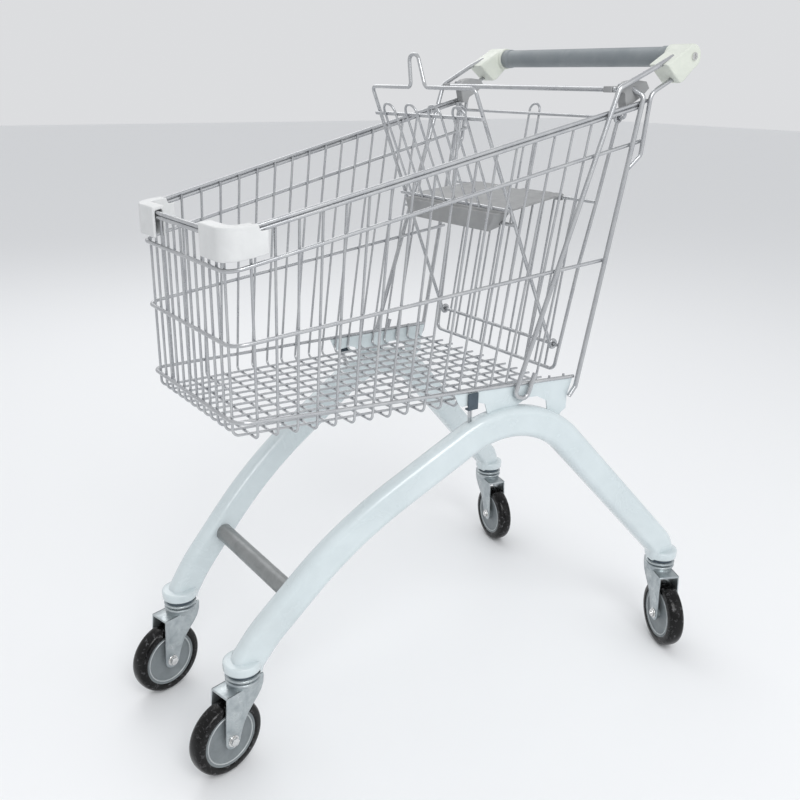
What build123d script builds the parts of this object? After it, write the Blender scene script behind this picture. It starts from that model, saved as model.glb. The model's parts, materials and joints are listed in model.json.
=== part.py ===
from build123d import *
import os
from math import hypot, sqrt

# Supermarket shopping cart with a tapering wire basket on two arched side tubes.
# Frame: +Z up, floor at z = 0, the nose points to -Y, +X is on the left hand of a shopper
# who faces the nose from behind the handle. The origin lies on the floor, midway between the stems
# of the two rear casters. Millimetres.

os.makedirs("parts", exist_ok=True)

SIDES = {"left": -1, "right": 1}

# Wire sizes
ring_wire = 6.0
grid_wire = 4.0
arm_wire = 8.0
weld = 0.4
wire_play = 0.4

# Basket: the side walls open towards the rear and lean with the rings
nose_y = -830.0
nose_half_width = 154.0
wall_slope = 0.0937
corner_bend = 25.0
side_wire_count = 17
side_wire_top_y = -235.0
side_wire_top_pitch = 35.1
side_wire_bottom_y = -317.0
side_wire_bottom_pitch = 30.0
short_wire_count = 2
front_wire_count = 12
front_wire_pitch = 24.0
floor_fan = 1.3
floor_front_z = 551.0
floor_slope = 0.024
floor_rear_y = -242.0
floor_bend = 9.0

# Rings: height at the nose, rise per millimetre towards the rear, and rear end
ring_lines = {
    "lower": (580.0, -0.032, -236.0),
    "middle": (689.0, 0.103, -189.0),
    "upper": (789.0, 0.219, -137.0),
}
rim_nose_z = 835.0
rim_slope = 0.235
rim_rear_y = {"lower": -143.0, "upper": -131.0}

# Side tubes: a pressed oval tube in an upright plane that toes in towards the nose
front_stem = (124.0, -826.0)
rear_stem = (255.0, 0.0)
tube_depth = 52.0
tube_width = 34.0
tube_corner = 13.0
tube_wall = 1.8
collar_radius = 29.0
collar_bottom = 158.0
collar_height = 24.0
kingpin_radius = 6.0
cross_bar_y = -737.5
cross_bar_z = 268.0
cross_bar_diameter = 30.0

# Casters
wheel_radius = 62.5
wheel_width = 30.0
hub_radius = 47.0
axle_radius = 4.0
running_gap = 0.06
caster_trail = 38.0
fork_half_width = 20.0
fork_plate = 2.6
crown_top = 143.0
crown_plate = 4.0
race_radius = 25.0
caster_places = {
    "front_left": (-124.0, -826.0, -76.0),
    "front_right": (124.0, -826.0, -78.0),
    "rear_left": (-255.0, 0.0, -13.0),
    "rear_right": (255.0, 0.0, -25.0),
}

# Rear gate, which hangs from a rod between the ends of the rim
gate_hinge = (-169.4, 976.0)
hinge_rod_radius = 2.6
gate_lean = 0.163
gate_top_half = 197.0
gate_seat_half = 187.0
gate_bottom_half = 164.0
gate_seat_z = 844.5
gate_bar_z = 602.5
gate_bottom_z = 560.5
gate_wires_x = (12.5, 37.5, 62.5, 87.5, 112.5, 137.5)
gate_loop_top = 992.0

# Child seat: a wire backrest that folds on the gate, and a plate that folds with it
back_top = (-415.4, 1017.0)
back_top_half = 136.0
back_bottom_half = 150.5
back_bars_z = (973.8, 835.7, 812.4)
back_wires_x = (15.5, 46.5, 77.5, 108.5)
back_loop_rise = 16.0
seat_rear = (-196.5, 851.0)
seat_front = (-326.5, 835.3)
seat_rear_half = 115.0
seat_front_half = 133.0
seat_thickness = 3.5

# Handle
handle_y = -58.0
handle_z = 1069.5
handle_tube_radius = 13.0
handle_sleeve_radius = 15.5
cap_inner_x = 205.0
cap_socket = 7.0
cap_outer_x = 243.0
arm_rod = (-200.0, 1018.6)


def finish(builder, name):
    """Label a sub-part and write it as its own STEP file."""
    builder.part.label = name
    export_step(builder.part, f"parts/{name}.step")


def wall_x(y):
    """Half width of the basket at the centre of its rings."""
    return nose_half_width + wall_slope * (y - nose_y)


def ring_z(name, y):
    height, rise, rear = ring_lines[name]
    return height + rise * (y - nose_y)


def rim_z(y):
    return rim_nose_z + rim_slope * (y - nose_y)


def floor_z(y):
    return floor_front_z - floor_slope * (y + 800.0)


def gate_y(z):
    """The gate's middle plane, which leans back towards the handle."""
    return gate_hinge[0] + gate_lean * (z - gate_hinge[1])


def bent_wire(points, diameter, bend):
    """A round wire through the points, with its corners bent to the given radius."""
    with BuildPart() as wire:
        with BuildLine() as path:
            if len(points) == 2:
                Line(*points)
            else:
                FilletPolyline(*points, radius=bend)
        with BuildSketch(Plane(origin=path.line @ 0, z_dir=path.line % 0)):
            Circle(diameter / 2)
        sweep(path=path.line)
    return wire.part


def mirrored_points(points, side):
    return [(side * x, y, z) for x, y, z in points]


# ---------------------------------------------------------------- side tubes


def tube_plane(side):
    """Upright plane of one side tube, with its local x along the tube's run."""
    toe = (rear_stem[0] - front_stem[0]) / (rear_stem[1] - front_stem[1])
    return Plane(
        origin=(side * front_stem[0], front_stem[1], 0),
        x_dir=(side * toe, 1, 0),
        z_dir=(1, -side * toe, 0),
    )


def tube_run(y):
    """Distance along the tube's plane from the front stem to a given y."""
    stretch = hypot(rear_stem[0] - front_stem[0], rear_stem[1] - front_stem[1])
    return (y - front_stem[1]) * stretch / (rear_stem[1] - front_stem[1])


def arch_tube(side, inset):
    """The arched tube, shrunk by the inset all round."""
    corners = [(-820.5, 166), (-817, 178), (-790, 217), (-653, 359.5), (-335.8, 543.8), (-12, 197.6), (-2, 168)]
    plane = tube_plane(side)
    points = [plane.from_local_coords(Vector(tube_run(y), z)) for y, z in corners]
    with BuildPart() as tube:
        with BuildLine() as path:
            FilletPolyline(*points, radius=[30, 250, 700, 160, 40])
        section = Plane(origin=path.line @ 0, x_dir=plane.z_dir, z_dir=path.line % 0)
        with BuildSketch(section):
            RectangleRounded(tube_width - 2 * inset, tube_depth - 2 * inset, tube_corner - inset)
        sweep(path=path.line)
    return tube.part


def side_tube(side):
    outside = arch_tube(side, 0)
    inside = arch_tube(side, tube_wall)
    with BuildPart() as tube:
        add(outside)
        add(inside, mode=Mode.SUBTRACT)
        for x, y in (front_stem, rear_stem):
            with BuildSketch(Plane.XY.offset(collar_bottom)):
                with Locations((side * x, y)):
                    Circle(collar_radius)
            extrude(amount=collar_height)
            # Kingpin that hangs below the collar, with its riveted head under the fork's crown
            with BuildSketch(Plane.XY.offset(crown_top - crown_plate - 4)):
                with Locations((side * x, y)):
                    Circle(kingpin_radius)
            extrude(amount=collar_bottom - crown_top + crown_plate + 4)
            with BuildSketch(Plane.XY.offset(crown_top - crown_plate - 3.4)):
                with Locations((side * x, y)):
                    Circle(kingpin_radius + 5)
            extrude(amount=3)
    return tube


def cross_bar():
    """Round tube between the front legs, with its ends shaped to their inner faces."""
    plane = tube_plane(1)
    reach = plane.from_local_coords(Vector(tube_run(cross_bar_y), 0)).X
    legs = [arch_tube(side, 0) for side in (-1, 1)]
    with BuildPart() as bar:
        with BuildSketch(Plane.YZ.offset(-reach)):
            with Locations((cross_bar_y, cross_bar_z)):
                Circle(cross_bar_diameter / 2)
                Circle(cross_bar_diameter / 2 - 1.5, mode=Mode.SUBTRACT)
        extrude(amount=2 * reach)
        add(legs, mode=Mode.SUBTRACT)
    return bar


def support_plate(side):
    """Pressed plate that joins the basket's lower ring to the crown of the side tube."""
    inner = 2.25
    plane = Plane(
        origin=(side * (wall_x(0) - inner), 0, 0),
        x_dir=(side * wall_slope, 1, 0),
        z_dir=(side, -wall_slope, 0),
    )
    under_ring = [(y, ring_z("lower", y) - ring_wire / 2 + 0.1) for y in (-474, -238)]
    outline = [
        under_ring[0],
        (-466, 548),
        (-460, 543),
        (-428, 545),
        (-415, 541),
        (-405, 510),
        (-400, 490),
        (-366, 490),
        (-360, 512),
        (-350, 529),
        (-330, 538),
        (-310, 537),
        (-290, 526),
        (-282, 490),
        (-262, 490),
        (-257, 500),
        (-247, 506),
        (-247, 528),
        under_ring[1],
    ]
    tube = arch_tube(side, 0)
    with BuildPart() as plate:
        with BuildSketch(plane):
            local = [plane.to_local_coords(Vector(side * (wall_x(y) - inner), y, z)) for y, z in outline]
            Polygon(*[(point.X, point.Y) for point in local], align=None)
        extrude(amount=2.5)
        add(tube, mode=Mode.SUBTRACT)
    return plate


# ---------------------------------------------------------------- basket


def basket_ring(name):
    """One U-shaped ring: along a side, round the nose and back."""
    rear = ring_lines[name][2]
    points = [(wall_x(y), y, ring_z(name, y)) for y in (rear, nose_y)]
    path = points + mirrored_points(points[::-1], -1)
    with BuildPart() as ring:
        add(bent_wire(path, ring_wire, corner_bend))
    return ring


def rim_wires():
    """Two rings stacked on each other form the top edge of the basket."""
    with BuildPart() as rim:
        for level, rear in rim_rear_y.items():
            lift = ring_wire / 2 * sqrt(1 + rim_slope**2) + 0.05
            shift = lift if level == "upper" else -lift
            points = [(wall_x(y), y, rim_z(y) + shift) for y in (rear, nose_y)]
            add(bent_wire(points + mirrored_points(points[::-1], -1), ring_wire, corner_bend))
    return rim


def side_wire_ends():
    """Top and bottom y, and top z, of every upright wire of a side wall."""
    ends = []
    for i in range(side_wire_count):
        top = side_wire_top_y - side_wire_top_pitch * i
        bottom = side_wire_bottom_y - side_wire_bottom_pitch * i
        ends.append((top, bottom, rim_z(top) + 1.0))
    for i in range(short_wire_count):
        bottom = side_wire_bottom_y + side_wire_bottom_pitch * (i + 1)
        ends.append((bottom + 4, bottom, ring_z("lower", bottom) + 5.0))
    return ends


def side_wire_x(y):
    """The grid wires lie on the inner side of the rings."""
    return wall_x(y) - (ring_wire + grid_wire) / 2 + weld


def side_wires(side):
    """Upright wires of one side wall, each bent inwards at the floor."""
    wires = []
    for top, bottom, top_z in side_wire_ends():
        foot = (side_wire_x(bottom), bottom, floor_z(bottom))
        points = [
            (side_wire_x(top), top, top_z),
            foot,
            (foot[0] - floor_bend - 3, bottom, floor_z(bottom)),
        ]
        wires.append(bent_wire(mirrored_points(points, side), grid_wire, floor_bend))
    with BuildPart() as wall:
        add(wires)
    return wall


def floor_cross_wires():
    """Straight parts of the floor's cross wires, between the bends of the side wires."""
    with BuildPart() as floor:
        for top, bottom, top_z in side_wire_ends():
            reach = side_wire_x(bottom) - floor_bend - 3
            with BuildSketch(Plane.YZ.offset(-reach)):
                with Locations((bottom, floor_z(bottom))):
                    Circle(grid_wire / 2)
            extrude(amount=2 * reach)
    return floor


def front_wire_x():
    middle = (front_wire_count - 1) / 2
    return [front_wire_pitch * (i - middle) for i in range(front_wire_count)]


def floor_wire_point(x, y):
    """A point on the floor wire that starts at x at the nose; the wires fan out to the rear."""
    front_y = nose_y + (ring_wire + grid_wire) / 2
    fan = 1 + (floor_fan - 1) * (y - front_y) / (floor_rear_y - front_y)
    return (x * fan, y, floor_z(y) + grid_wire - weld)


def front_wires():
    """Upright wires of the nose, each bent under towards the rear."""
    front_y = nose_y + (ring_wire + grid_wire) / 2 - weld
    wires = []
    for x in front_wire_x():
        points = [
            (x, front_y, rim_nose_z + 1.0),
            (x, front_y, floor_wire_point(x, front_y)[2]),
            floor_wire_point(x, front_y + 16),
        ]
        wires.append(bent_wire(points, grid_wire, 10))
    with BuildPart() as nose:
        add(wires)
    return nose


def floor_length_wires():
    front_y = nose_y + (ring_wire + grid_wire) / 2 - weld
    wires = []
    for x in front_wire_x():
        start = floor_wire_point(x, front_y + 16)
        wires.append(bent_wire([start, floor_wire_point(x, floor_rear_y)], grid_wire, 0))
    with BuildPart() as floor:
        add(wires)
    return floor


def outside_x(y):
    """Centre of the thick wires that run up the outside of the rings."""
    return wall_x(y) + (ring_wire + arm_wire) / 2 - weld


def rear_upright(side):
    """Thick wire from under the support plate up to the hinge bracket."""
    points = [
        (outside_x(-247), -249, 529),
        (outside_x(-236), -236, 545),
        (outside_x(-146), -146, 1009),
        (203, -158, 1023),
        (203, -180, 1023),
    ]
    with BuildPart() as upright:
        add(bent_wire(mirrored_points(points, side), arm_wire, 8))
    return upright


def handle_arms(side):
    """The hooked wire and the short wire that carry one end of the handle."""
    hooked = [
        (outside_x(-324), -324, 581),
        (outside_x(-339), -339, 538.4),
        (outside_x(-364), -363.5, 547),
        (outside_x(-197), -197, 1020.6),
        (229.5, -126, 1053.6),
        (229.5, -92, 1068),
    ]
    short = [
        (219, -160, 899),
        (226, -141.5, 920),
        (226, -130.8, 1013.3),
        (229.5, -88, 1035),
        (229.5, -70, 1044),
    ]
    with BuildPart() as arms:
        add(bent_wire(mirrored_points(hooked, side), arm_wire, [11, 11, 14, 12]))
        add(bent_wire(mirrored_points(short, side), ring_wire + 1, [12, 20, 12]))
    return arms


def clip_band(side):
    """Dark ribbed clip over the support plate, below the lower ring."""
    low, high = -451.0, -431.0
    with BuildPart() as band:
        x = wall_x(low)
        with BuildSketch(Plane.XZ.offset(-high)):
            top = ring_z("lower", high) - ring_wire / 2 - 0.3
            points = [(x + 2.4, top), (x + 5.4, top), (x + 5.4, 536), (x - 4, 536), (x - 4, 539), (x + 2.4, 539)]
            Polygon(*[(side * px, pz) for px, pz in points], align=None)
        extrude(amount=high - low)
        fillet(band.edges().filter_by(Axis.Y).group_by(SortBy.LENGTH)[0].sort_by(Axis.Z)[0], 0.8)
    return band


def clip_wires(side):
    """Pair of short bent wires from the clip down to the crown of the side tube."""
    tube = arch_tube(side, 0)
    with BuildPart() as clip:
        for shift in (0, grid_wire + 0.3):
            y = -446 + shift
            points = [(190, y, 535.9), (190, y, 526), (181, y + 9, 503)]
            add(bent_wire(mirrored_points(points, side), grid_wire, 8))
        add(tube, mode=Mode.SUBTRACT)
    return clip


def corner_band(side, outwards, inwards, arm_x, end_y, bends):
    """Plan outline of a band round one nose corner, between two offsets from the rim."""
    outline = [
        (arm_x, nose_y - outwards),
        (wall_x(nose_y) + outwards, nose_y - outwards),
        (wall_x(end_y) + outwards, end_y),
        (wall_x(end_y) - inwards, end_y),
        (wall_x(nose_y) - inwards, nose_y + inwards),
        (arm_x, nose_y + inwards),
    ]
    with BuildSketch() as band:
        with BuildLine():
            Polyline(*[(side * x, y) for x, y in outline], close=True)
        make_face()
        for (x, y), bend in zip((outline[1], outline[4]), bends):
            corner = band.vertices().sort_by_distance((side * x, y, 0))[0]
            fillet(corner, bend)
    return band.sketch


def bumper(side):
    """Corner cap of the nose: a moulded channel over the rim and the tops of the grid wires."""
    shell = corner_band(side, 8, 11, 82, -776, (32, 14))
    channel = corner_band(side, 3.8, 7.6, 70, -760, (27, 18))
    rim_top = [(y, rim_z(y) + 6.8) for y in (-842, -750)]
    with BuildPart() as hollow:
        with BuildSketch(Plane.XY.offset(780)):
            add(channel)
        extrude(amount=90)
        with BuildSketch(Plane.YZ):
            Polygon(rim_top[0], rim_top[1], (-750, 900), (-842, 900), align=None)
        extrude(amount=400, both=True, mode=Mode.SUBTRACT)
    with BuildPart() as cap:
        with BuildSketch(Plane.XY.offset(796)):
            add(shell)
        extrude(amount=66)
        # Top and lower edge both rise a little, and the top has a notch where the rim leaves it
        with BuildSketch(Plane.YZ):
            Polygon((-850, 845.5), (-790, 851.2), (-787, 842), (-760, 845), (-760, 900), (-850, 900), align=None)
            Polygon((-850, 799), (-760, 814), (-760, 780), (-850, 780), align=None)
        extrude(amount=400, both=True, mode=Mode.SUBTRACT)
        add(hollow.part, mode=Mode.SUBTRACT)
    return cap


def handle_tube():
    reach = cap_outer_x - 5
    with BuildPart() as tube:
        with BuildSketch(Plane.YZ.offset(-reach)):
            with Locations((handle_y, handle_z)):
                Circle(handle_tube_radius)
                Circle(handle_tube_radius - 1.5, mode=Mode.SUBTRACT)
        extrude(amount=2 * reach)
    return tube


def handle_sleeve():
    """Soft sleeve over the handle tube, with a slightly thicker lip at each end."""
    lip = 14.0
    end = cap_inner_x - cap_socket
    with BuildPart() as sleeve:
        with BuildSketch(Plane.YZ.offset(-end)):
            with Locations((handle_y, handle_z)):
                Circle(handle_sleeve_radius)
        extrude(amount=2 * end)
        for x in (-end, end - lip):
            with BuildSketch(Plane.YZ.offset(x)):
                with Locations((handle_y, handle_z)):
                    Circle(handle_sleeve_radius + 1.2)
            extrude(amount=lip)
        with BuildSketch(Plane.YZ.offset(-end)):
            with Locations((handle_y, handle_z)):
                Circle(handle_tube_radius)
        extrude(amount=2 * end, mode=Mode.SUBTRACT)
    return sleeve


def end_cap(side):
    """Moulded cap that joins the handle tube to the two arm wires."""
    outline = [(-120, 1056), (-84, 1029), (-76, 1031), (-42, 1060), (-58, 1083), (-66, 1086)]
    wires = handle_arms(side).part
    with BuildPart() as cap:
        with BuildSketch(Plane.YZ.offset(side * cap_inner_x)):
            Polygon(*outline, align=None)
            with Locations((handle_y, handle_z)):
                Circle(handle_tube_radius + 6)
        extrude(amount=side * (cap_outer_x - cap_inner_x))
        fillet(cap.faces().filter_by(Axis.X).edges(), 3)
        with BuildSketch(Plane.YZ.offset(side * (cap_inner_x - cap_socket))):
            with Locations((handle_y, handle_z)):
                Circle(handle_tube_radius + 6)
        extrude(amount=side * (cap_socket + 6))
        with BuildSketch(Plane.YZ.offset(side * (cap_inner_x - cap_socket))):
            with Locations((handle_y, handle_z)):
                Circle(handle_tube_radius)
        extrude(amount=side * (cap_outer_x - 5 - cap_inner_x + cap_socket), mode=Mode.SUBTRACT)
        add(wires, mode=Mode.SUBTRACT)
    return cap


def cap_screws():
    """Cross-head screws through the end caps."""
    with BuildPart() as screws:
        for side in (-1, 1):
            with BuildSketch(Plane.YZ.offset(side * cap_outer_x)):
                with Locations((handle_y, handle_z)):
                    Circle(6)
            extrude(amount=side * 2.6)
            with BuildSketch(Plane.YZ.offset(side * (cap_outer_x + 2.6))):
                with Locations((handle_y, handle_z)):
                    Rectangle(7, 1.4)
                    Rectangle(1.4, 7)
            extrude(amount=-side * 1.2, mode=Mode.SUBTRACT)
    return screws


def upper_rod():
    """Rod between the bends of the hooked arm wires; it carries the hinge brackets."""
    reach = outside_x(arm_rod[0]) - arm_wire / 2 + weld
    with BuildPart() as rod:
        with BuildSketch(Plane.YZ.offset(-reach)):
            with Locations(arm_rod):
                Circle(arm_wire / 2)
        extrude(amount=2 * reach)
    return rod


def hinge_rod():
    """Rod that the gate hangs from, with its ends turned up and welded to the rim."""
    y, z = gate_hinge
    reach = wall_x(y) - ring_wire / 2 - hinge_rod_radius + weld
    top = rim_z(y) - 1
    points = [(reach, y, top), (reach, y, z), (-reach, y, z), (-reach, y, top)]
    with BuildPart() as rod:
        add(bent_wire(points, 2 * hinge_rod_radius, 5))
    return rod


def bracket(side):
    """Grey clamp that holds the top of a rear upright to the upper rod."""
    outline = [
        (-206, 1014),
        (-206, 1023.2),
        (-174, 1023.6),
        (-166, 1030),
        (-150, 1033),
        (-126, 1031),
        (-118, 1021),
        (-134, 1008),
        (-152, 999),
        (-156, 989),
        (-167, 989),
        (-171, 1001),
        (-174, 1014),
    ]
    upright = rear_upright(side).part
    rod = upper_rod().part
    with BuildPart() as clamp:
        with BuildSketch(Plane.YZ.offset(side * 194)):
            Polygon(*outline, align=None)
        extrude(amount=side * 17)
        add(upright, mode=Mode.SUBTRACT)
        add(rod, mode=Mode.SUBTRACT)
    return clamp


# ---------------------------------------------------------------- gate


def hook_eye(x, y, z, rod_radius):
    """A wire eye bent round a rod that runs along X, with some play."""
    with BuildPart() as eye:
        with BuildSketch(Plane.XY):
            with Locations((0, rod_radius + wire_play + ring_wire / 2)):
                Circle(ring_wire / 2)
        revolve(axis=Axis.X)
    return Pos(x, y, z) * eye.part


def gate_frame():
    """Frame wire of the gate: an eye round the hinge rod on each side and the bottom bar."""
    eye_bottom = gate_hinge[1] - hinge_rod_radius - wire_play - ring_wire / 3
    heights = (eye_bottom, 850, 742, gate_bottom_z)
    halves = (gate_top_half, gate_seat_half, 175, gate_bottom_half)
    points = [(x, gate_y(z), z) for x, z in zip(halves, heights)]
    path = points + mirrored_points(points[::-1], -1)
    with BuildPart() as frame:
        add(bent_wire(path, ring_wire, [60, 60, 12, 12, 60, 60]))
        for x in (-gate_top_half, gate_top_half):
            add(hook_eye(x, *gate_hinge, hinge_rod_radius))
    return frame


def gate_bars():
    """Straight cross bars of the gate: the seat bar and the backrest's hinge bar."""
    with BuildPart() as bars:
        for z, half in ((gate_seat_z, gate_seat_half), (gate_bar_z, 166.5)):
            reach = half - ring_wire / 2 + weld
            with BuildSketch(Plane.YZ.offset(-reach)):
                with Locations((gate_y(z), z)):
                    Circle(ring_wire / 2)
            extrude(amount=2 * reach)
    return bars


def gate_wires():
    """Upright wires behind the gate's bars; the middle pair rises into a loop."""
    behind = (ring_wire + grid_wire) / 2 - weld
    low = gate_bottom_z - 2
    tops = {x: gate_seat_z + 2 for x in gate_wires_x}
    wires = []
    for x in gate_wires_x[1:]:
        for side in (-1, 1):
            ends = [(side * x, gate_y(z) + behind, z) for z in (low, tops[x])]
            wires.append(bent_wire(ends, grid_wire, 0))
    x = gate_wires_x[0]
    heights = (low, gate_loop_top, gate_loop_top, low)
    clear = grid_wire / 2 + hinge_rod_radius + 0.35
    loop = [(dx, gate_y(z) + clear, z) for dx, z in zip((-x, -x, x, x), heights)]
    wires.append(bent_wire(loop, grid_wire, x - 0.5))
    with BuildPart() as grid:
        add(wires)
    return grid




# ---------------------------------------------------------------- child seat


def back_y(z):
    """The backrest's side wires, seen from the side, run straight from top to eye."""
    bottom_y = gate_y(gate_bar_z) - ring_wire - 0.4
    return bottom_y + (back_top[0] - bottom_y) * (z - gate_bar_z) / (back_top[1] - gate_bar_z)


def back_half(z):
    return back_bottom_half + (back_top_half - back_bottom_half) * (z - gate_bar_z) / (back_top[1] - gate_bar_z)


def backrest_frame():
    """Frame wire with a thumb loop in its top edge and an eye at each lower end."""
    top = back_top[1]
    into_eye = gate_bar_z - 1.5
    front = [
        (back_bottom_half, into_eye),
        (back_top_half, top),
        (14, top),
        (-8, top + 49),
        (-31, top + 49),
        (-24, top),
        (-back_top_half, top),
        (-back_bottom_half, into_eye),
    ]
    # The thumb loop stands upright, and all below it leans
    path = [(x, back_y(min(z, top)), z) for x, z in front]
    with BuildPart() as frame:
        add(bent_wire(path, ring_wire, [10, 12, 12, 9, 7, 10]))
        for side in (-1, 1):
            add(hook_eye(side * back_bottom_half, gate_y(gate_bar_z), gate_bar_z, ring_wire / 2))
    return frame


def backrest_bars():
    """Cross bars on the front of the frame wires."""
    front = ring_wire - weld
    with BuildPart() as bars:
        for z in back_bars_z:
            reach = back_half(z) + 4
            with BuildSketch(Plane.YZ.offset(-reach)):
                with Locations((back_y(z) - front, z)):
                    Circle(ring_wire / 2)
            extrude(amount=2 * reach)
    return bars


def backrest_wires():
    """Four narrow loops on the front of the two upper bars."""
    front = ring_wire - weld + (ring_wire + grid_wire) / 2 - weld
    low = back_bars_z[1] - 2
    high = back_bars_z[0] + back_loop_rise
    near, far, outer, end = back_wires_x
    wires = []
    for left, right in ((-end, -outer), (-far, -near), (near, far), (outer, end)):
        path = [(left, low), (left, high), (right, high), (right, low)]
        points = [(x, back_y(z) - front, z) for x, z in path]
        wires.append(bent_wire(points, grid_wire, (right - left) / 2 - 0.5))
    with BuildPart() as grid:
        add(wires)
    return grid


def seat_apron():
    """Moulded lip on the two lower bars of the backrest; the seat plate rests on it."""
    top_z = 830.4
    ends = backrest_bars().part
    with BuildPart() as apron:
        with BuildSketch(Plane.XZ.offset(329)):
            Polygon((-133, top_z), (133, top_z), (112, 806), (-112, 806), align=None)
        with BuildSketch(Plane.XZ.offset(353)):
            Polygon((-122, 829), (122, 829), (108, 798), (-108, 798), align=None)
        loft()
        add(ends, mode=Mode.SUBTRACT)
    return apron


def seat_plate():
    """Moulded plate with knuckles round the gate's seat bar."""
    y_bar = gate_y(gate_seat_z)
    slope = (seat_rear[1] - seat_front[1]) / (seat_rear[0] - seat_front[0])
    top = Plane(origin=(0, seat_rear[0], seat_rear[1]), x_dir=(1, 0, 0), z_dir=(0, -slope, 1))
    length = hypot(seat_rear[0] - seat_front[0], seat_rear[1] - seat_front[1])
    notch = 18.0
    outline = [
        (-seat_rear_half, 0),
        (-seat_front_half, -length),
        (seat_front_half, -length),
        (seat_rear_half, 0),
        (notch, 0),
        (notch, -notch / 2),
        (-notch, -notch / 2),
        (-notch, 0),
    ]
    knuckles = [(67, 16), (92, 16)]
    with BuildPart() as plate:
        with BuildSketch(top):
            Polygon(*outline, align=None)
        extrude(amount=-seat_thickness)
        for start, width in knuckles:
            for x in (start, -start - width):
                with BuildSketch(Plane.YZ.offset(x)):
                    with Locations((y_bar, gate_seat_z)):
                        Circle(ring_wire / 2 + 3)
                    Polygon(
                        (y_bar - 6, gate_seat_z),
                        (y_bar, gate_seat_z + 6),
                        (seat_rear[0] - 2, seat_rear[1] - 0.5),
                        (seat_rear[0] - 8, seat_rear[1] - 4),
                        align=None,
                    )
                    with Locations((y_bar, gate_seat_z)):
                        Circle(ring_wire / 2 + running_gap, mode=Mode.SUBTRACT)
                extrude(amount=width)
    return plate


# ---------------------------------------------------------------- casters
# Each piece is made round a stem at the origin, trailing along +X, and then turned into place.


def caster_fork():
    """Bent sheet fork with the swivel race on its crown."""
    reach = fork_half_width
    side_view = [
        (-24, crown_top),
        (caster_trail + 12, crown_top),
        (caster_trail + 12, wheel_radius),
        (caster_trail, wheel_radius - 12),
        (caster_trail - 12, wheel_radius),
        (8, 98),
        (-20, 122),
        (-24, 132),
    ]
    with BuildPart() as fork:
        with BuildSketch(Plane.XZ):
            Polygon(*side_view, align=None)
        extrude(amount=reach, both=True)
        ends = fork.edges().filter_by(Axis.Y).group_by(Axis.Z)
        fillet(ends[0] + ends[1], 10)
        with BuildSketch(Plane.XZ):
            Rectangle(200, crown_top - crown_plate, align=(Align.CENTER, Align.MIN))
        extrude(amount=reach - fork_plate, both=True, mode=Mode.SUBTRACT)
        # Rounded nose of the crown
        with BuildSketch(Plane.XY.offset(crown_top - crown_plate)):
            Circle(race_radius + 1)
        extrude(amount=crown_plate)
        # Two pressed race rings with a groove between them
        for low, height, radius in ((crown_top, 6, race_radius), (crown_top + 6, 1.5, race_radius - 4)):
            with BuildSketch(Plane.XY.offset(low)):
                Circle(radius)
            extrude(amount=height)
        with BuildSketch(Plane.XY.offset(crown_top + 7.5)):
            Circle(race_radius + 1)
        extrude(amount=6)
        with BuildSketch(Plane.XY.offset(crown_top - crown_plate)):
            Circle(kingpin_radius + running_gap)
        extrude(amount=30, mode=Mode.SUBTRACT)
        with BuildSketch(Plane.XZ.offset(-reach)):
            with Locations((caster_trail, wheel_radius)):
                Circle(axle_radius)
        extrude(amount=2 * reach, mode=Mode.SUBTRACT)
    return fork


def caster_axle():
    """Hexagon bolt with its nut."""
    with BuildPart() as axle:
        with BuildSketch(Plane.XZ.offset(-fork_half_width - 6)):
            with Locations((caster_trail, wheel_radius)):
                Circle(axle_radius)
        extrude(amount=2 * fork_half_width + 13)
        for start in (-fork_half_width - 5, fork_half_width):
            with BuildSketch(Plane.XZ.offset(start)):
                with Locations((caster_trail, wheel_radius)):
                    RegularPolygon(7.5, 6)
            extrude(amount=5)
    return axle


def caster_hub():
    """Moulded wheel centre with a raised rim, a recessed web and a boss on the axle."""
    with BuildPart() as hub:
        with BuildSketch(Plane.XZ):
            with Locations((caster_trail, wheel_radius)):
                Circle(hub_radius)
        extrude(amount=13, both=True)
        for start in (-13, 10.5):
            with BuildSketch(Plane.XZ.offset(start)):
                with Locations((caster_trail, wheel_radius)):
                    Circle(hub_radius - 4)
            extrude(amount=2.5, mode=Mode.SUBTRACT)
        with BuildSketch(Plane.XZ):
            with Locations((caster_trail, wheel_radius)):
                Circle(11)
        extrude(amount=fork_half_width - fork_plate - 0.4, both=True)
        with BuildSketch(Plane.XZ):
            with Locations((caster_trail, wheel_radius)):
                Circle(axle_radius + running_gap)
        extrude(amount=fork_half_width, both=True, mode=Mode.SUBTRACT)
    return hub


def caster_tyre():
    """Solid tyre with a rounded tread."""
    with BuildPart() as tyre:
        with BuildSketch(Plane.XZ):
            with Locations((caster_trail, wheel_radius)):
                Circle(wheel_radius)
                Circle(hub_radius, mode=Mode.SUBTRACT)
        extrude(amount=wheel_width / 2, both=True)
        outer = tyre.edges().filter_by(GeomType.CIRCLE).group_by(SortBy.RADIUS)[-1]
        fillet(outer, 10)
    return tyre


def place_caster(builder, place):
    """Turn a caster piece to its trailing bearing and set it under its stem."""
    x, y, bearing = place
    with BuildPart() as placed:
        add(Pos(x, y, 0) * Rot(0, 0, bearing) * builder.part)
    return placed


# ---------------------------------------------------------------- every piece

for name, side in SIDES.items():
    finish(side_tube(side), f"side_tube_{name}")
    finish(support_plate(side), f"support_plate_{name}")
    finish(side_wires(side), f"side_wires_{name}")
    finish(rear_upright(side), f"rear_upright_{name}")
    finish(handle_arms(side), f"handle_arms_{name}")
    finish(bracket(side), f"bracket_{name}")
    finish(bumper(side), f"bumper_{name}")
    finish(clip_band(side), f"clip_band_{name}")
    finish(clip_wires(side), f"clip_wires_{name}")
    finish(end_cap(side), f"end_cap_{name}")

for name in ring_lines:
    finish(basket_ring(name), f"ring_{name}")

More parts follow.
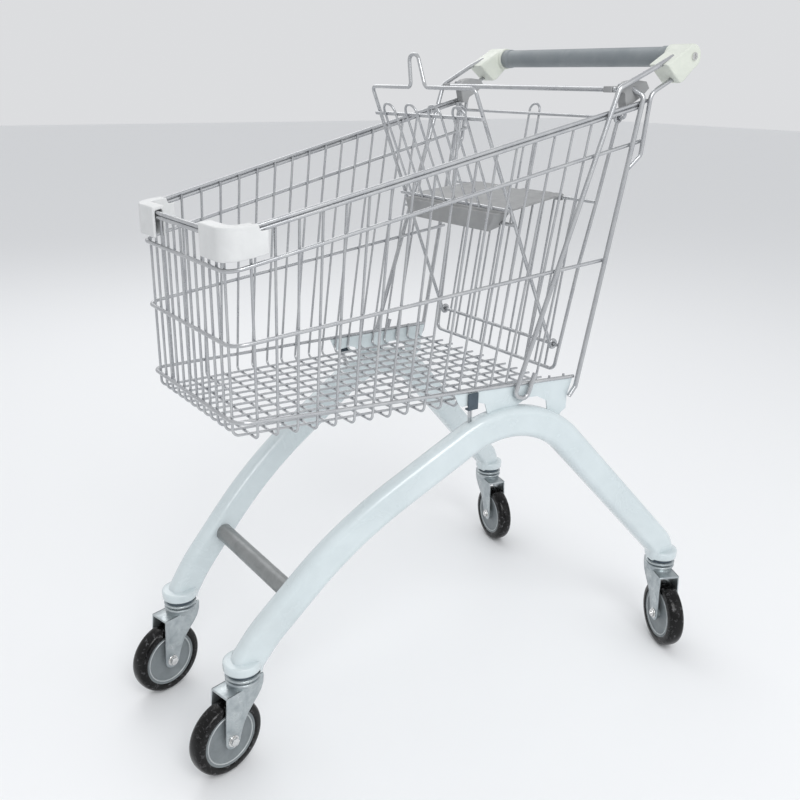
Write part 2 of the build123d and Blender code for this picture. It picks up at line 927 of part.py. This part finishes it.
finish(cross_bar(), "cross_bar")
finish(rim_wires(), "rim_wires")
finish(front_wires(), "front_wires")
finish(floor_cross_wires(), "floor_cross_wires")
finish(floor_length_wires(), "floor_length_wires")
finish(handle_tube(), "handle_tube")
finish(handle_sleeve(), "handle_sleeve")
finish(cap_screws(), "cap_screws")
finish(upper_rod(), "upper_rod")
finish(hinge_rod(), "hinge_rod")

finish(gate_frame(), "gate_frame")
finish(gate_bars(), "gate_bars")
finish(gate_wires(), "gate_wires")

finish(backrest_frame(), "backrest_frame")
finish(backrest_bars(), "backrest_bars")
finish(backrest_wires(), "backrest_wires")
finish(seat_apron(), "seat_apron")
finish(seat_plate(), "seat_plate")

pieces = {"fork": caster_fork, "axle": caster_axle, "hub": caster_hub, "tyre": caster_tyre}
for kind, make in pieces.items():
    made = make()
    for corner, place in caster_places.items():
        finish(place_caster(made, place), f"{kind}_{corner}")
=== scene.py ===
import json
from math import cos, pi, radians, sin

import bpy
from mathutils import Matrix, Vector


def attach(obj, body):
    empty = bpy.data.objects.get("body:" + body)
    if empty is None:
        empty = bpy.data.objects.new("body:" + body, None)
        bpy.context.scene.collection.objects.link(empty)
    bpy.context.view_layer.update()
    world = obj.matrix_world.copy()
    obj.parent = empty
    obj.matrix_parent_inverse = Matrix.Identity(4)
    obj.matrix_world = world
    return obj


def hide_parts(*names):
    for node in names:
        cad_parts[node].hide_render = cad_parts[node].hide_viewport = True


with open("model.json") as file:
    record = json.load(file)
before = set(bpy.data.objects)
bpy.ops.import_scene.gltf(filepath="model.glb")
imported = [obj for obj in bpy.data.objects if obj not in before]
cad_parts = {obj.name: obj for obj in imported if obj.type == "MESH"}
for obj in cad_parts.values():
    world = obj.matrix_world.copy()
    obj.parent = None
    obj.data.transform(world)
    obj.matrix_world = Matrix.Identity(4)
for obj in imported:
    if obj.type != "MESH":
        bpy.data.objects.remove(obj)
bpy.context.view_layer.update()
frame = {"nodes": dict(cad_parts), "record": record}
nodes = frame["nodes"]
print("frame loaded")

sides = ("left", "right")
corners = ("front_left", "front_right", "rear_left", "rear_right")


# Camera: in front of the nose, on the near side, a little above the basket
cameraSetup = {
    "place": (1.210, -1.312, 1.026),
    "yaw": 54.37,  # degrees
    "pitch": 19.61,
    "roll": 0.89,
    "lens": 40.29,  # millimetres
    "sensor": 36,
    "clipStart": 0.05,
}

bpy.ops.object.select_all(action="DESELECT")
bpy.ops.object.camera_add(location=cameraSetup["place"])
camera = bpy.context.object
camera.name = "camera"
camera.data.lens = cameraSetup["lens"]
camera.data.sensor_width = cameraSetup["sensor"]
camera.data.clip_start = cameraSetup["clipStart"]
turn = Matrix.Rotation(radians(cameraSetup["yaw"]), 4, "Z")
tilt = Matrix.Rotation(radians(90 - cameraSetup["pitch"]), 4, "X")
lean = Matrix.Rotation(radians(cameraSetup["roll"]), 4, "Z")
camera.matrix_world = Matrix.Translation(cameraSetup["place"]) @ turn @ tilt @ lean
bpy.context.scene.camera = camera

# Three big soft panels in a pale room: place, aim, size in metres and watts
studioLights = {
    "keyPanel": {"place": (2.9, -1.3, 3.1), "aim": (0, -0.4, 0.5), "size": 1.9, "power": 62},
    "fillPanel": {"place": (2.9, 0.9, 1.7), "aim": (0, -0.4, 0.5), "size": 2.4, "power": 8},
    "backPanel": {"place": (-2.4, 0.2, 2.9), "aim": (0, -0.4, 0.6), "size": 2.4, "power": 26},
}
room = {"colour": (0.97, 0.98, 1.0), "strength": 0.74}

for name, light in studioLights.items():
    bpy.ops.object.light_add(type="AREA", location=light["place"])
    panel = bpy.context.object
    panel.name = name
    panel.data.shape = "SQUARE"
    panel.data.size = light["size"]
    panel.data.energy = light["power"]
    aim = Vector(light["aim"]) - Vector(light["place"])
    panel.rotation_euler = aim.to_track_quat("-Z", "Y").to_euler()

world = bpy.data.worlds.new("paleStudio")
world.use_nodes = True
background = world.node_tree.nodes["Background"]
background.inputs["Color"].default_value = (*room["colour"], 1)
background.inputs["Strength"].default_value = room["strength"]
bpy.context.scene.world = world
bpy.context.scene.view_settings.view_transform = "Standard"
print("camera and lights set")


# Finishes: grain is the width in metres of the mottling between the two colours, and pits
# the width of the fine bumps
finishes = {
    "framePaint": {
        "colour": (0.62, 0.69, 0.71), "second": (0.56, 0.63, 0.65), "roughness": (0.20, 0.32),
        "metallic": 0.0, "coat": 0.6, "grain": 0.09, "pits": 0.0011, "bump": 0.05, "dust": 0.10},
    "zincWire": {
        "colour": (0.52, 0.53, 0.54), "second": (0.42, 0.43, 0.45), "roughness": (0.18, 0.32),
        "metallic": 0.75, "coat": 0.0, "grain": 0.035, "pits": 0.0009, "bump": 0.06, "dust": 0.0},
    "greyPlastic": {
        "colour": (0.34, 0.345, 0.345), "second": (0.29, 0.295, 0.30), "roughness": (0.40, 0.52),
        "metallic": 0.0, "coat": 0.0, "grain": 0.03, "pits": 0.0006, "bump": 0.14, "dust": 0.08},
    "bumperPlastic": {
        "colour": (0.70, 0.71, 0.71), "second": (0.64, 0.65, 0.65), "roughness": (0.34, 0.48),
        "metallic": 0.0, "coat": 0.0, "grain": 0.05, "pits": 0.0007, "bump": 0.10, "dust": 0.06},
    "capPlastic": {
        "colour": (0.66, 0.69, 0.62), "second": (0.60, 0.63, 0.57), "roughness": (0.34, 0.48),
        "metallic": 0.0, "coat": 0.0, "grain": 0.03, "pits": 0.0007, "bump": 0.10, "dust": 0.06},
    "darkPlastic": {
        "colour": (0.06, 0.085, 0.11), "second": (0.035, 0.05, 0.065), "roughness": (0.38, 0.52),
        "metallic": 0.0, "coat": 0.0, "grain": 0.012, "pits": 0.0006, "bump": 0.14, "dust": 0.10},
    "handlePlastic": {
        "colour": (0.24, 0.265, 0.28), "second": (0.20, 0.225, 0.24), "roughness": (0.44, 0.56),
        "metallic": 0.0, "coat": 0.0, "grain": 0.05, "pits": 0.0008, "bump": 0.18, "dust": 0.08},
    "brightMetal": {
        "colour": (0.78, 0.78, 0.77), "second": (0.62, 0.62, 0.62), "roughness": (0.14, 0.26),
        "metallic": 1.0, "coat": 0.0, "grain": 0.006, "pits": 0.0005, "bump": 0.03, "dust": 0.0},
    "forkZinc": {
        "colour": (0.50, 0.54, 0.55), "second": (0.34, 0.38, 0.40), "roughness": (0.24, 0.42),
        "metallic": 0.85, "coat": 0.0, "grain": 0.016, "pits": 0.0008, "bump": 0.07, "dust": 0.0},
    "hubPlastic": {
        "colour": (0.20, 0.225, 0.235), "second": (0.16, 0.18, 0.19), "roughness": (0.34, 0.48),
        "metallic": 0.0, "coat": 0.0, "grain": 0.02, "pits": 0.0006, "bump": 0.10, "dust": 0.10},
    # The cross bar's darker grey is partly its own paint and partly painted shade
    "barGreyAndShade": {
        "colour": (0.24, 0.25, 0.25), "second": (0.19, 0.20, 0.20), "roughness": (0.30, 0.44),
        "metallic": 0.2, "coat": 0.2, "grain": 0.03, "pits": 0.0011, "bump": 0.05, "dust": 0.10},
    "hubTrim": {
        "colour": (0.52, 0.55, 0.56), "second": (0.44, 0.47, 0.48), "roughness": (0.26, 0.38),
        "metallic": 0.1, "coat": 0.0, "grain": 0.02, "pits": 0.0006, "bump": 0.06, "dust": 0.0},
    "tyreRubber": {
        "colour": (0.003, 0.003, 0.003), "second": (0.11, 0.11, 0.115), "roughness": (0.10, 0.26),
        "metallic": 0.0, "coat": 0.0, "grain": 0.006, "pits": 0.0016, "bump": 0.12, "dust": 0.0,
        "ramp": (0.56, 0.72), "specular": 0.25},
}

# What all the finishes share
surface = {
    "coatRoughness": 0.12,
    "specular": 0.5,
    "ramp": (0.36, 0.70),
    "grain": {"Detail": 5, "Roughness": 0.62, "Distortion": 0.6},
    "smear": {"Detail": 7, "Roughness": 0.7},
    "smearScale": 0.31,
    "smearRange": {"From Min": 0.56, "From Max": 0.74},
    "dirt": (0.30, 0.29, 0.27),
    "sheenRange": {"From Min": 0.3, "From Max": 0.7},
    "pits": {"Detail": 2},
    "pitDepth": 0.0006,
}

slotFinish = {
    "frame_paint": "framePaint",
    "zinc_wire": "zincWire",
    "grey_plastic": "greyPlastic",
    "bumper_plastic": "bumperPlastic",
    "dark_plastic": "darkPlastic",
    "cap_plastic": "capPlastic",
    "handle_plastic": "handlePlastic",
    "bright_metal": "brightMetal",
    "fork_zinc": "forkZinc",
    "hub_plastic": "hubPlastic",
    "tyre_black": "tyreRubber",
}


def addNode(tree, kind, values):
    node = tree.nodes.new(kind)
    for socketName, value in values.items():
        node.inputs[socketName].default_value = value
    return node


def makeFinish(name, look):
    finish = bpy.data.materials.new(name)
    finish.use_nodes = True
    tree = finish.node_tree
    link = tree.links.new
    shader = tree.nodes["Principled BSDF"]
    shader.inputs["Metallic"].default_value = look["metallic"]
    shader.inputs["Coat Weight"].default_value = look["coat"]
    shader.inputs["Coat Roughness"].default_value = surface["coatRoughness"]
    shader.inputs["Specular IOR Level"].default_value = look.get("specular", surface["specular"])

    # Mottling between the two colours, which also turns the gloss up and down
    place = tree.nodes.new("ShaderNodeTexCoord").outputs["Object"]
    grain = addNode(tree, "ShaderNodeTexNoise", {"Scale": 1 / look["grain"], **surface["grain"]})
    link(place, grain.inputs["Vector"])
    tones = tree.nodes.new("ShaderNodeValToRGB")
    for stop, position, tone in zip(tones.color_ramp.elements, look.get("ramp", surface["ramp"]),
                                    (look["colour"], look["second"])):
        stop.position = position
        stop.color = (*tone, 1)
    link(grain.outputs["Fac"], tones.inputs["Fac"])
    colour = tones.outputs["Color"]
    low, high = look["roughness"]
    sheen = addNode(tree, "ShaderNodeMapRange",
                    {"To Min": low, "To Max": high, **surface["sheenRange"]})
    link(grain.outputs["Fac"], sheen.inputs["Value"])
    link(sheen.outputs["Result"], shader.inputs["Roughness"])

    if look["dust"]:
        # Handling grime: thin darker patches, only where a second, larger noise peaks
        smear = addNode(tree, "ShaderNodeTexNoise",
                        {"Scale": surface["smearScale"] / look["grain"], **surface["smear"]})
        link(place, smear.inputs["Vector"])
        patches = addNode(tree, "ShaderNodeMapRange",
                          {"To Max": look["dust"], **surface["smearRange"]})
        link(smear.outputs["Fac"], patches.inputs["Value"])
        soil = tree.nodes.new("ShaderNodeMix")
        soil.data_type = "RGBA"
        soil.inputs["B"].default_value = (*surface["dirt"], 1)
        link(colour, soil.inputs["A"])
        link(patches.outputs["Result"], soil.inputs["Factor"])
        colour = soil.outputs["Result"]
    link(colour, shader.inputs["Base Color"])

    pits = addNode(tree, "ShaderNodeTexNoise", {"Scale": 1 / look["pits"], **surface["pits"]})
    link(place, pits.inputs["Vector"])
    bump = addNode(tree, "ShaderNodeBump",
                   {"Strength": look["bump"], "Distance": surface["pitDepth"]})
    link(pits.outputs["Fac"], bump.inputs["Height"])
    link(bump.outputs["Normal"], shader.inputs["Normal"])
    return finish


def paint(piece, finishName):
    piece.data.materials.clear()
    piece.data.materials.append(materials[finishName])


materials = {name: makeFinish(name, look) for name, look in finishes.items()}
for subpart in frame["record"]["subparts"]:
    paint(nodes[subpart["node"]], slotFinish[subpart["material_slot"]])
paint(nodes["cross_bar"], "barGreyAndShade")  # the bar between the front legs is darker grey: partly its own grey paint, partly painted shade
print("finishes made")


# Modelling helpers. Shapes are written in millimetres and modelled in metres
smoothAngle = radians(40)
mergeDistance = 0.00001
nodeMergeDistance = 0.00002  # the loose triangles of a CAD node's copy


def selectOnly(piece):
    bpy.ops.object.select_all(action="DESELECT")
    piece.select_set(True)
    bpy.context.view_layer.objects.active = piece


def startFromPoint(name, start):
    # One vertex in edit mode, ready to be drawn out
    bpy.ops.object.select_all(action="DESELECT")
    bpy.ops.mesh.primitive_plane_add(size=0.001, location=(0, 0, 0))
    piece = bpy.context.object
    piece.name = name
    bpy.ops.object.mode_set(mode="EDIT")
    bpy.ops.mesh.select_all(action="SELECT")
    bpy.ops.mesh.merge(type="CENTER")
    bpy.ops.transform.translate(value=start)
    return piece


def drawOut(points):
    # Extrudes the selected vertex from each point to the next
    for before, after in zip(points, points[1:]):
        step = Vector(after) - Vector(before)
        bpy.ops.mesh.extrude_vertices_move(TRANSFORM_OT_translate={"value": step})
    bpy.ops.mesh.select_all(action="SELECT")


def closeUp(piece):
    bpy.ops.mesh.select_all(action="SELECT")
    bpy.ops.mesh.remove_doubles(threshold=mergeDistance)
    bpy.ops.mesh.normals_make_consistent(inside=False)
    bpy.ops.object.mode_set(mode="OBJECT")
    selectOnly(piece)


def mirrored(half):
    # A profile closed by its own mirror image across the middle plane
    return half + [(radius, -height) for radius, height in reversed(half)]


def turned(name, profile, steps):
    # A closed profile of (radius, height) points, spun round Z
    points = [(radius / 1000, 0, height / 1000) for radius, height in profile + profile[:1]]
    piece = startFromPoint(name, points[0])
    drawOut(points)
    bpy.ops.mesh.remove_doubles(threshold=mergeDistance)
    bpy.ops.mesh.select_all(action="SELECT")
    bpy.ops.mesh.spin(steps=steps, angle=2 * pi, center=(0, 0, 0), axis=(0, 0, 1))
    closeUp(piece)
    return piece


def cutPlate(name, outline, low, high):
    # A closed outline of (x, z) points, as a plate between two values of y
    points = [(x / 1000, low / 1000, z / 1000) for x, z in outline]
    thickness = (0, (high - low) / 1000, 0)
    piece = startFromPoint(name, points[0])
    drawOut(points)
    bpy.ops.mesh.edge_face_add()
    bpy.ops.mesh.extrude_region_move(TRANSFORM_OT_translate={"value": thickness})
    closeUp(piece)
    return piece


def rounded(piece, width, segments=2, angle=35):
    selectOnly(piece)
    bpy.ops.object.modifier_add(type="BEVEL")
    bevel = piece.modifiers[-1]
    bevel.width = width / 1000
    bevel.segments = segments
    bevel.limit_method = "ANGLE"
    bevel.angle_limit = radians(angle)
    bevel.use_clamp_overlap = True
    bpy.ops.object.modifier_apply(modifier=bevel.name)
    bpy.ops.object.shade_smooth_by_angle(angle=smoothAngle)
    return piece


def joined(name, pieces):
    bpy.ops.object.select_all(action="DESELECT")
    for piece in pieces:
        piece.select_set(True)
    bpy.context.view_layer.objects.active = pieces[0]
    bpy.ops.object.join()
    pieces[0].name = name
    return pieces[0]


def settled(piece, move):
    # Moves the mesh and leaves its object at the origin
    piece.matrix_world = move
    selectOnly(piece)
    bpy.ops.object.transform_apply(location=True, rotation=True, scale=True)
    return piece


def copied(piece, name, move):
    # A copy with its own mesh
    selectOnly(piece)
    bpy.ops.object.duplicate()
    twin = bpy.context.object
    twin.name = name
    return settled(twin, move)


def nodeCopy(node, name):
    piece = bpy.data.objects.new(name, nodes[node].data.copy())
    bpy.context.scene.collection.objects.link(piece)
    selectOnly(piece)
    return piece


def applyLast(piece):
    bpy.ops.object.modifier_apply(modifier=piece.modifiers[-1].name)


def softCopy(node, name, voxel, rounds, keepFaces=1.0):
    # A moulded version of a plain node: remeshed finely, then relaxed so that its edges go round
    piece = nodeCopy(node, name)
    bpy.ops.object.mode_set(mode="EDIT")
    bpy.ops.mesh.select_all(action="SELECT")
    bpy.ops.mesh.remove_doubles(threshold=nodeMergeDistance)
    bpy.ops.object.mode_set(mode="OBJECT")
    bpy.ops.object.modifier_add(type="REMESH")
    piece.modifiers[-1].mode = "VOXEL"
    piece.modifiers[-1].voxel_size = voxel / 1000
    applyLast(piece)
    bpy.ops.object.modifier_add(type="SMOOTH")
    piece.modifiers[-1].factor = 0.5
    piece.modifiers[-1].iterations = rounds
    applyLast(piece)
    if keepFaces < 1:
        bpy.ops.object.modifier_add(type="DECIMATE")
        piece.modifiers[-1].ratio = keepFaces
        applyLast(piece)
    bpy.ops.object.shade_smooth()
    return piece


def finished(piece, finishName, slot, body, *replacedNodes):
    paint(piece, finishName)
    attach(piece, body)
    if replacedNodes:
        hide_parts(*replacedNodes)


# Casters: each piece is made round its own axle or stem, then copied to the four corners.
# A bearing is the way that the wheel trails, in degrees from +X
caster = {
    "trail": 38.0,
    "axleHeight": 62.5,
    "bearings": {"front_left": -76, "front_right": -78, "rear_left": -13, "rear_right": -25},
    "stems": {
        "front_left": (-124, -826),
        "front_right": (124, -826),
        "rear_left": (-255, 0),
        "rear_right": (255, 0),
    },
}


def cornerMove(corner):
    x, y = caster["stems"][corner]
    bearing = Matrix.Rotation(radians(caster["bearings"][corner]), 4, "Z")
    return Matrix.Translation((x / 1000, y / 1000, 0)) @ bearing


def roundAxle(radius, angles):
    # (x, z) points round the axle, one for each angle in degrees
    return [(caster["trail"] + radius * cos(radians(angle)),
             caster["axleHeight"] + radius * sin(radians(angle))) for angle in angles]


# From a piece turned round Z at the origin to the axle, which lies along Y
axleCentre = Matrix.Translation((caster["trail"] / 1000, 0, caster["axleHeight"] / 1000))
wheelHome = axleCentre @ Matrix.Rotation(radians(90), 4, "X")

# Tyre: a bead on the hub, a slightly hollow side wall, a shoulder line and a rounded tread
tyre = {
    "steps": 96,
    "edge": 0.3,
    "half": [
        (47.05, 13.6), (48.2, 14.6), (50.5, 14.9), (53.0, 14.4), (56.2, 14.1),
        (58.6, 13.0), (60.4, 10.9), (61.5, 8.2), (62.2, 5.0), (62.45, 2.0),
    ],
}
tyreModel = rounded(turned("tyreModel", mirrored(tyre["half"]), tyre["steps"]), tyre["edge"], 1)
settled(tyreModel, wheelHome)

# Hub: a stepped boss on the axle, a thin web and a raised seat for the trim ring
hub = {
    "steps": 72,
    "edge": 0.3,
    "sharp": 25,
    "half": [
        (4.1, 16.9), (9.6, 16.9), (10.8, 16.2), (11.0, 12.0), (12.0, 11.0),
        (27.0, 10.4), (38.2, 10.9), (39.2, 11.8), (41.0, 12.0), (43.5, 12.0),
        (44.3, 11.9), (46.0, 12.6), (46.95, 13.4),
    ],
}
hubModel = turned("hubModel", mirrored(hub["half"]), hub["steps"])
settled(rounded(hubModel, hub["edge"], 2, hub["sharp"]), wheelHome)

# Trim: the lighter raised ring on each face of the hub
trim = {
    "steps": 72,
    "nearFace": [
        (40.9, 11.6), (41.1, 12.8), (41.7, 13.4), (42.3, 13.4), (42.9, 12.8), (43.1, 11.6),
    ],
}
farFace = [(radius, -height) for radius, height in reversed(trim["nearFace"])]
trimRings = [turned("trim", face, trim["steps"]) for face in (trim["nearFace"], farFace)]
trimModel = settled(joined("trimModel", trimRings), wheelHome)

# Fork cheeks: near-upright trailing edge, leading edge swept back to a round end at the axle,
# and a top edge that climbs round the races
fork = {
    "inside": 17.4,
    "outside": 20.0,
    "edge": 0.7,
    "trailing": [(45.5, 143), (49, 110)],
    "endRadius": 14,
    "leading": [
        (20.0, 74), (14.5, 86), (8.0, 97), (-2.0, 108),
        (-12, 118), (-20, 128), (-24.5, 139), (-25.5, 150),
    ],
    "top": [(-25, 155.5), (-14, 155), (-4, 151.5), (5, 146.5), (13, 143.4), (20, 143)],
    "crown": [(-24, 139.8), (46.2, 139.8), (45.6, 143), (-24, 143)],
    "crownHalf": 19.9,
}
roundEnd = roundAxle(fork["endRadius"], range(0, -181, -15))
cheekOutline = fork["trailing"] + roundEnd + fork["leading"] + fork["top"]
forkSheets = [
    cutPlate("cheek", cheekOutline, -fork["outside"], -fork["inside"]),
    cutPlate("cheek", cheekOutline, fork["inside"], fork["outside"]),
    cutPlate("crownSheet", fork["crown"], -fork["crownHalf"], fork["crownHalf"]),
]
forkModel = rounded(joined("forkModel", forkSheets), fork["edge"], 2)

# Races: two pressed zinc rings on the fork's crown, with a dark seal in each groove
races = {
    "steps": 72,
    "edge": 0.25,
    "sharp": 25,
    "profile": [
        (6.3, 139.6), (24.6, 139.6), (25.0, 144.5), (25.6, 147.0), (27.0, 148.0),
        (27.6, 149.8), (27.0, 151.6), (25.4, 152.6), (22.4, 153.0), (22.2, 154.4),
        (25.0, 154.8), (27.2, 155.8), (27.8, 157.6), (27.2, 159.4), (25.2, 160.4),
        (22.6, 160.8), (22.4, 162.6), (6.3, 162.6),
    ],
    "sealSteps": 60,
    "lowerSeal": [(20.0, 153.1), (23.6, 153.1), (24.0, 153.8), (23.6, 154.5), (20.0, 154.5)],
    "upperSeal": [(20.0, 161.0), (24.2, 161.0), (24.6, 162.6), (24.2, 164.2), (20.0, 164.4)],
}
raceModel = turned("raceModel", races["profile"], races["steps"])
rounded(raceModel, races["edge"], 1, races["sharp"])
forkModel = joined("forkModel", [forkModel, raceModel])
sealRings = [turned("seal", races[ring], races["sealSteps"]) for ring in ("lowerSeal", "upperSeal")]
sealModel = joined("sealModel", sealRings)

# Bolt: hexagon head at one side, nut with a domed thread end at the other, and washers
bolt = {
    "hexagonRadius": 7.6,
    "edge": 0.8,
    "hexagons": {"boltHead": (-25.2, -21.2), "nut": (21.2, 26.2)},
    "shank": [
        (0.02, -25.9), (2.6, -25.9), (3.6, -25.3), (3.95, -24.6),
        (3.95, 25.2), (3.6, 26.9), (2.4, 27.6), (0.02, 27.6),
    ],
    "shankSteps": 24,
    "washer": [(4.0, 0), (9.2, 0), (9.6, 0.4), (9.6, 0.9), (9.2, 1.3), (4.0, 1.3)],
    "washerSteps": 36,
    "washerStarts": (-21.3, 20.0),
}
hexagon = roundAxle(bolt["hexagonRadius"], range(0, 360, 60))
boltParts = []
for name, (low, high) in bolt["hexagons"].items():
    boltParts.append(rounded(cutPlate(name, hexagon, low, high), bolt["edge"], 2))
turnedParts = [turned("shank", bolt["shank"], bolt["shankSteps"])]
for start in bolt["washerStarts"]:
    washerProfile = [(radius, start + height) for radius, height in bolt["washer"]]
    turnedParts.append(turned("washer", washerProfile, bolt["washerSteps"]))
for part in turnedParts:
    settled(part, wheelHome)
    bpy.ops.object.shade_smooth_by_angle(angle=smoothAngle)
boltModel = joined("boltModel", boltParts + turnedParts)

casterModels = {
    "tyre": (tyreModel, "tyreRubber", "tyre_black", "wheel"),
    "hub": (hubModel, "hubPlastic", "hub_plastic", "wheel"),
    "fork": (forkModel, "forkZinc", "fork_zinc", "caster"),
    "axle": (boltModel, "brightMetal", "bright_metal", "caster"),
}
for corner in corners:
    move = cornerMove(corner)
    for kind, (model, finishName, slot, body) in casterModels.items():
        piece = copied(model, f"detailed_{kind}_{corner}", move)
        finished(piece, finishName, slot, f"{body}_{corner}", f"{kind}_{corner}")
    seal = copied(sealModel, f"race_seal_{corner}", move)
    finished(seal, "darkPlastic", "dark_plastic", f"caster_{corner}")
    ring = copied(trimModel, f"hub_ring_{corner}", move)
    finished(ring, "hubTrim", "hub_plastic", f"wheel_{corner}")
for model in (tyreModel, hubModel, trimModel, forkModel, boltModel, sealModel):
    bpy.data.objects.remove(model)
print("casters made")


# Side tubes: the plain collar over each caster is shortened until it is inside a turned flange
flange = {
    "collarBottom": 158.0,
    "reach": 0.4,  # how near a point lies to the collar's bottom to be one of its own
    "lift": 23.6,
    "steps": 64,
    "profile": [
        (12.0, 167.2), (27.4, 167.2), (28.8, 167.7), (29.7, 168.9), (30.0, 170.8), (30.0, 178.8),
        (29.8, 180.8), (29.2, 182.0), (28.2, 182.6), (24.0, 182.8), (12.0, 182.8),
    ],
}
flangeModel = turned("flangeModel", flange["profile"], flange["steps"])
bpy.ops.object.shade_smooth_by_angle(angle=smoothAngle)
for sideName in sides:
    tube = nodeCopy(f"side_tube_{sideName}", f"arched_tube_{sideName}")
    bpy.ops.object.mode_set(mode="EDIT")
    bpy.ops.mesh.select_all(action="DESELECT")
    bpy.ops.object.mode_set(mode="OBJECT")
    for point in tube.data.vertices:
        offset = abs(point.co.z - flange["collarBottom"] / 1000)
        point.select = offset < flange["reach"] / 1000
    bpy.ops.object.mode_set(mode="EDIT")
    bpy.ops.transform.translate(value=(0, 0, flange["lift"] / 1000))
    bpy.ops.object.mode_set(mode="OBJECT")
    finished(tube, "framePaint", "frame_paint", "chassis", f"side_tube_{sideName}")
for corner in corners:
    ring = copied(flangeModel, f"flange_{corner}", cornerMove(corner))
    finished(ring, "framePaint", "frame_paint", "chassis")
bpy.data.objects.remove(flangeModel)
print("side tubes made")


# Moulded pieces: voxel in millimetres, and how many rounds of relaxing
moulded = {
    "bumper": {"voxel": 1.1, "rounds": 7, "finish": "bumperPlastic", "slot": "bumper_plastic"},
    "end_cap": {"voxel": 1.1, "rounds": 6, "finish": "capPlastic", "slot": "cap_plastic"},
    "bracket": {"voxel": 0.7, "rounds": 4, "finish": "greyPlastic", "slot": "grey_plastic"},
    "clip_band": {"voxel": 0.6, "rounds": 3, "finish": "darkPlastic", "slot": "dark_plastic"},
}
seatPieces = {
    "seat_apron": {"voxel": 1.3, "rounds": 4, "keepFaces": 0.6, "body": "backrest"},
    "seat_plate": {"voxel": 1.0, "rounds": 2, "keepFaces": 0.3, "body": "seat"},
}
for kind, look in moulded.items():
    for sideName in sides:
        node = f"{kind}_{sideName}"
        piece = softCopy(node, f"moulded_{node}", look["voxel"], look["rounds"])
        finished(piece, look["finish"], look["slot"], "chassis", node)
for node, look in seatPieces.items():
    piece = softCopy(node, f"moulded_{node}", look["voxel"], look["rounds"], look["keepFaces"])
    finished(piece, "greyPlastic", "grey_plastic", look["body"], node)
print("moulded pieces made")


# Handle sleeve, turned along the handle. The profile is one half, from the grip over the lip
# to the bore: (radius, distance in from the end)
sleeve = {
    "centre": (0, -58.0, 1069.5),
    "half": 198.0,
    "steps": 64,
    "profile": [
        (15.5, 15.5), (16.3, 14.6), (16.7, 13.5), (16.7, 1.2), (16.2, 0.3), (13.45, 0),
        (13.05, 0.5),
    ],
}
sleeveHalf = [(radius, sleeve["half"] - inset) for radius, inset in sleeve["profile"]]
sleevePiece = turned("handle_grip_sleeve", mirrored(sleeveHalf), sleeve["steps"])
sleeveCentre = Matrix.Translation(Vector(sleeve["centre"]) / 1000)
settled(sleevePiece, sleeveCentre @ Matrix.Rotation(radians(90), 4, "Y"))
bpy.ops.object.shade_smooth_by_angle(angle=smoothAngle)
finished(sleevePiece, "handlePlastic", "handle_plastic", "chassis", "handle_sleeve")
print("handle made")


# Floor: one plain pale sheet
floorSetup = {"size": 40, "colour": (0.86, 0.87, 0.88), "roughness": 0.6}
bpy.ops.object.select_all(action="DESELECT")
bpy.ops.mesh.primitive_plane_add(size=floorSetup["size"], location=(0, 0, 0))
floor = bpy.context.object
floor.name = "studio_floor"
floorPaint = bpy.data.materials.new("floorPaint")
floorPaint.use_nodes = True
floorShader = floorPaint.node_tree.nodes["Principled BSDF"]
floorShader.inputs["Base Color"].default_value = (*floorSetup["colour"], 1)
floorShader.inputs["Roughness"].default_value = floorSetup["roughness"]
floor.data.materials.append(floorPaint)
print("floor made")
